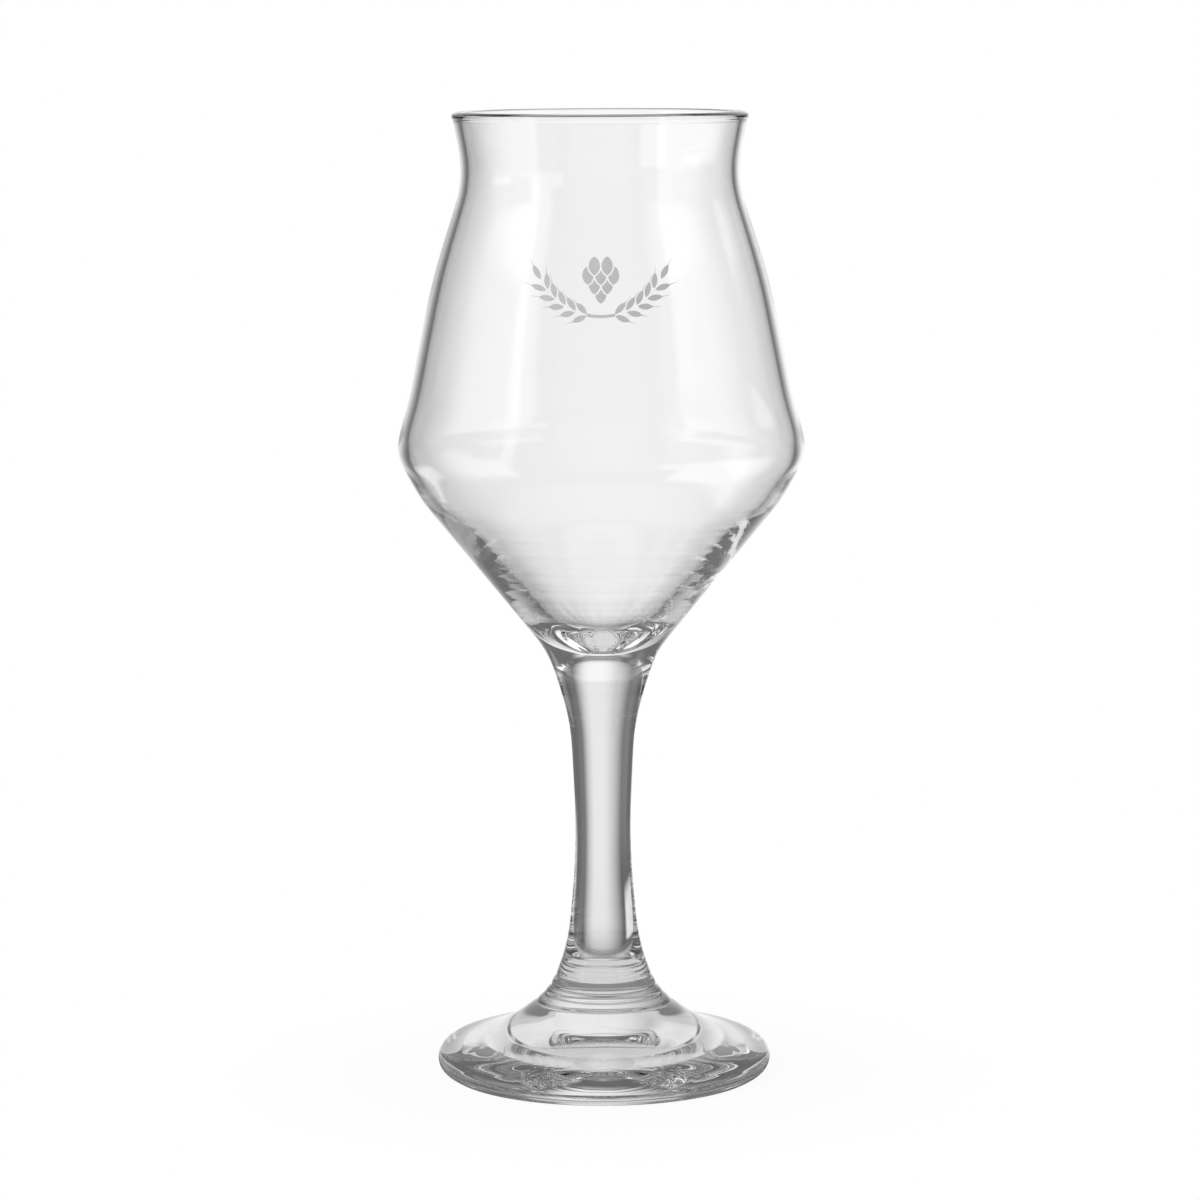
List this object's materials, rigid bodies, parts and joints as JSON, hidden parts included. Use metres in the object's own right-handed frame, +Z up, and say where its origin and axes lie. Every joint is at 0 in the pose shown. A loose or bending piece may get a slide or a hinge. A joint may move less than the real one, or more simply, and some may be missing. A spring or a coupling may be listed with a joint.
{
  "type": "tulip beer glass",
  "caption": "Stemmed tulip beer glass: thin double-cone bowl with a flared rim, drawn stem, thick rounded foot and a small grey enamel wreath.",
  "frame": {"origin": "where the glass's axis meets the surface it stands on", "axes": "+Z up along the axis, -Y towards the viewer of the printed front"},
  "size_m": [0.0872, 0.0872, 0.207],
  "materials": {
    "blown_glass": "clear soda-lime glass, blown and fire-polished",
    "drawn_glass": "clear soda-lime glass, drawn and fire-polished",
    "pressed_glass": "clear soda-lime glass, pressed and fire-polished",
    "grey_enamel": "fired screen-printed glass enamel, light grey, satin"
  },
  "bodies": {
    "root": {"bowl": "blown_glass", "stem": "drawn_glass", "foot": "pressed_glass", "enamel_print": "grey_enamel"}
  },
  "joints": []
}
